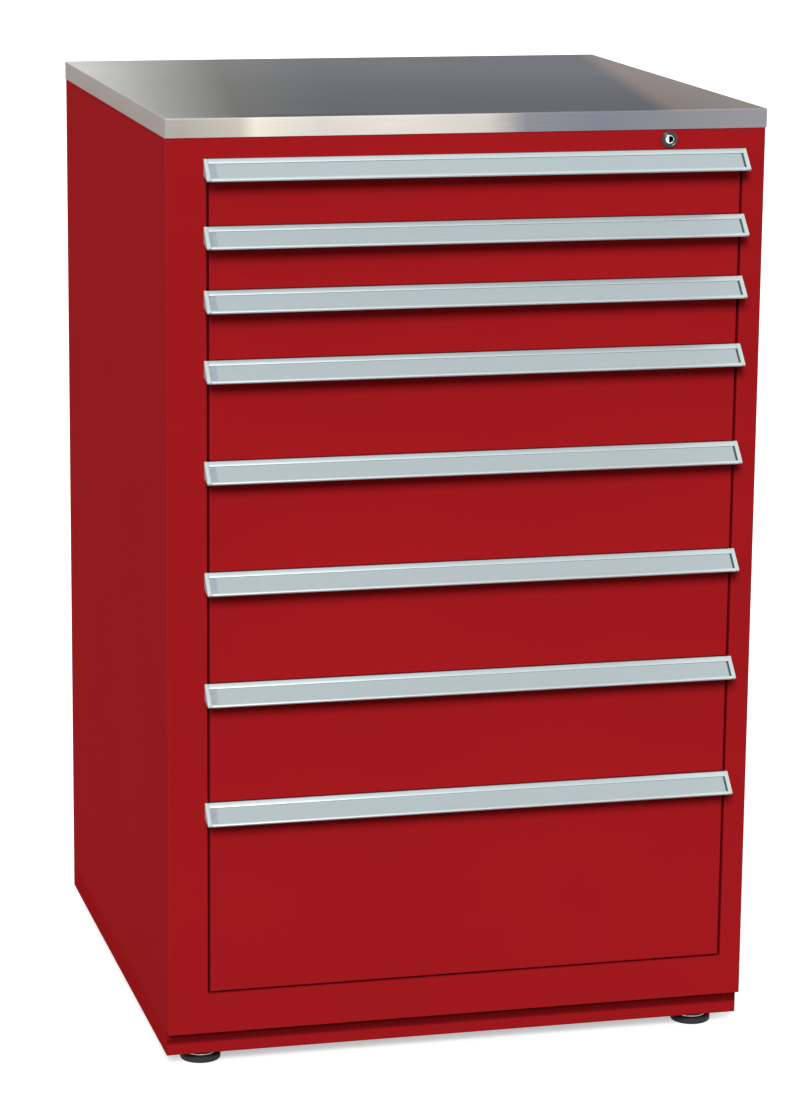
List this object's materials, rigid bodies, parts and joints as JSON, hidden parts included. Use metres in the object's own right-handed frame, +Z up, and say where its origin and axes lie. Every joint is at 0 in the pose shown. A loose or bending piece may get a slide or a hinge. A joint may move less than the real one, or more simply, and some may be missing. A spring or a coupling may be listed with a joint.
{
  "type": "tool cabinet",
  "caption": "Free-standing steel tool cabinet: stacked full-width drawers on telescopic slides, a folded stainless top, a keyed lock with a lifting bar, a recessed plinth and levelling feet.",
  "frame": {"origin": "centre of the footprint measured over the drawer handles, at the floor under the foot pads", "axes": "+Z up, drawers face and pull out towards -Y, +X to the right of a person who faces the drawers"},
  "size_m": [0.762, 0.7666, 1.208],
  "materials": {
    "red_paint": "satin red powder coat",
    "tray_paint": "satin grey powder coat",
    "stainless": "brushed stainless",
    "zinc_steel": "bright zinc plate",
    "anodised_aluminium": "satin anodised",
    "cap_plastic": "fine satin",
    "foot_rubber": "matt",
    "lock_chrome": "polished",
    "board": "raw particle board"
  },
  "bodies": {
    "cabinet": {"left_side_panel": "red_paint", "right_side_panel": "red_paint", "back_panel": "red_paint", "floor_pan": "red_paint", "top_pan": "red_paint", "header_rail": "red_paint", "stainless_top": "stainless", "top_board": "board", "base_frame": "red_paint", "foot_pads": "foot_rubber", "foot_studs": "zinc_steel", "foot_nuts": "zinc_steel", "slide_posts": "zinc_steel", "slide_channels": "zinc_steel", "lock_body": "lock_chrome", "lock_clip": "zinc_steel", "lock_bar_guides": "zinc_steel"},
    "drawer_1": {"drawer_1_tray": "tray_paint", "drawer_1_front": "red_paint", "drawer_1_handle": "anodised_aluminium", "drawer_1_end_caps": "cap_plastic"},
    "carriage_1": {"drawer_1_carriages": "zinc_steel"},
    "drawer_2": {"drawer_2_tray": "tray_paint", "drawer_2_front": "red_paint", "drawer_2_handle": "anodised_aluminium", "drawer_2_end_caps": "cap_plastic"},
    "carriage_2": {"drawer_2_carriages": "zinc_steel"},
    "drawer_3": {"drawer_3_tray": "tray_paint", "drawer_3_front": "red_paint", "drawer_3_handle": "anodised_aluminium", "drawer_3_end_caps": "cap_plastic"},
    "carriage_3": {"drawer_3_carriages": "zinc_steel"},
    "drawer_4": {"drawer_4_tray": "tray_paint", "drawer_4_front": "red_paint", "drawer_4_handle": "anodised_aluminium", "drawer_4_end_caps": "cap_plastic"},
    "carriage_4": {"drawer_4_carriages": "zinc_steel"},
    "drawer_5": {"drawer_5_tray": "tray_paint", "drawer_5_front": "red_paint", "drawer_5_handle": "anodised_aluminium", "drawer_5_end_caps": "cap_plastic"},
    "carriage_5": {"drawer_5_carriages": "zinc_steel"},
    "drawer_6": {"drawer_6_tray": "tray_paint", "drawer_6_front": "red_paint", "drawer_6_handle": "anodised_aluminium", "drawer_6_end_caps": "cap_plastic"},
    "carriage_6": {"drawer_6_carriages": "zinc_steel"},
    "drawer_7": {"drawer_7_tray": "tray_paint", "drawer_7_front": "red_paint", "drawer_7_handle": "anodised_aluminium", "drawer_7_end_caps": "cap_plastic"},
    "carriage_7": {"drawer_7_carriages": "zinc_steel"},
    "drawer_8": {"drawer_8_tray": "tray_paint", "drawer_8_front": "red_paint", "drawer_8_handle": "anodised_aluminium", "drawer_8_end_caps": "cap_plastic"},
    "carriage_8": {"drawer_8_carriages": "zinc_steel"},
    "lock_plug": {"lock_plug": "lock_chrome", "lock_cam": "zinc_steel"},
    "lock_bar": {"lock_bar": "zinc_steel"}
  },
  "joints": [
    {"name": "drawer_1_slide", "type": "slide", "parent": "cabinet", "child": "drawer_1", "axis": [0, -1, 0], "range_m": [0, 0.64]},
    {"name": "carriage_1_slide", "type": "slide", "parent": "cabinet", "child": "carriage_1", "axis": [0, -1, 0], "range_m": [0, 0.32]},
    {"name": "drawer_2_slide", "type": "slide", "parent": "cabinet", "child": "drawer_2", "axis": [0, -1, 0], "range_m": [0, 0.64]},
    {"name": "carriage_2_slide", "type": "slide", "parent": "cabinet", "child": "carriage_2", "axis": [0, -1, 0], "range_m": [0, 0.32]},
    {"name": "drawer_3_slide", "type": "slide", "parent": "cabinet", "child": "drawer_3", "axis": [0, -1, 0], "range_m": [0, 0.64]},
    {"name": "carriage_3_slide", "type": "slide", "parent": "cabinet", "child": "carriage_3", "axis": [0, -1, 0], "range_m": [0, 0.32]},
    {"name": "drawer_4_slide", "type": "slide", "parent": "cabinet", "child": "drawer_4", "axis": [0, -1, 0], "range_m": [0, 0.64]},
    {"name": "carriage_4_slide", "type": "slide", "parent": "cabinet", "child": "carriage_4", "axis": [0, -1, 0], "range_m": [0, 0.32]},
    {"name": "drawer_5_slide", "type": "slide", "parent": "cabinet", "child": "drawer_5", "axis": [0, -1, 0], "range_m": [0, 0.64]},
    {"name": "carriage_5_slide", "type": "slide", "parent": "cabinet", "child": "carriage_5", "axis": [0, -1, 0], "range_m": [0, 0.32]},
    {"name": "drawer_6_slide", "type": "slide", "parent": "cabinet", "child": "drawer_6", "axis": [0, -1, 0], "range_m": [0, 0.64]},
    {"name": "carriage_6_slide", "type": "slide", "parent": "cabinet", "child": "carriage_6", "axis": [0, -1, 0], "range_m": [0, 0.32]},
    {"name": "drawer_7_slide", "type": "slide", "parent": "cabinet", "child": "drawer_7", "axis": [0, -1, 0], "range_m": [0, 0.64]},
    {"name": "carriage_7_slide", "type": "slide", "parent": "cabinet", "child": "carriage_7", "axis": [0, -1, 0], "range_m": [0, 0.32]},
    {"name": "drawer_8_slide", "type": "slide", "parent": "cabinet", "child": "drawer_8", "axis": [0, -1, 0], "range_m": [0, 0.64]},
    {"name": "carriage_8_slide", "type": "slide", "parent": "cabinet", "child": "carriage_8", "axis": [0, -1, 0], "range_m": [0, 0.32]},
    {"name": "lock_bar_lift", "type": "slide", "parent": "cabinet", "child": "lock_bar", "axis": [0, 0, 1], "range_m": [0, 0.0099]},
    {"name": "lock_turn", "type": "hinge", "parent": "cabinet", "child": "lock_plug", "pos_m": [0.254, -0.35772, 1.1715], "axis": [0, 1, 0], "range_deg": [0, 90]}
  ],
  "couplings": [
    {"joint": "carriage_1_slide", "follows": "drawer_1_slide", "ratio": 0.5},
    {"joint": "carriage_2_slide", "follows": "drawer_2_slide", "ratio": 0.5},
    {"joint": "carriage_3_slide", "follows": "drawer_3_slide", "ratio": 0.5},
    {"joint": "carriage_4_slide", "follows": "drawer_4_slide", "ratio": 0.5},
    {"joint": "carriage_5_slide", "follows": "drawer_5_slide", "ratio": 0.5},
    {"joint": "carriage_6_slide", "follows": "drawer_6_slide", "ratio": 0.5},
    {"joint": "carriage_7_slide", "follows": "drawer_7_slide", "ratio": 0.5},
    {"joint": "carriage_8_slide", "follows": "drawer_8_slide", "ratio": 0.5},
    {"joint": "lock_turn", "follows": "lock_bar_lift", "rad_per_m": 158.68}
  ]
}
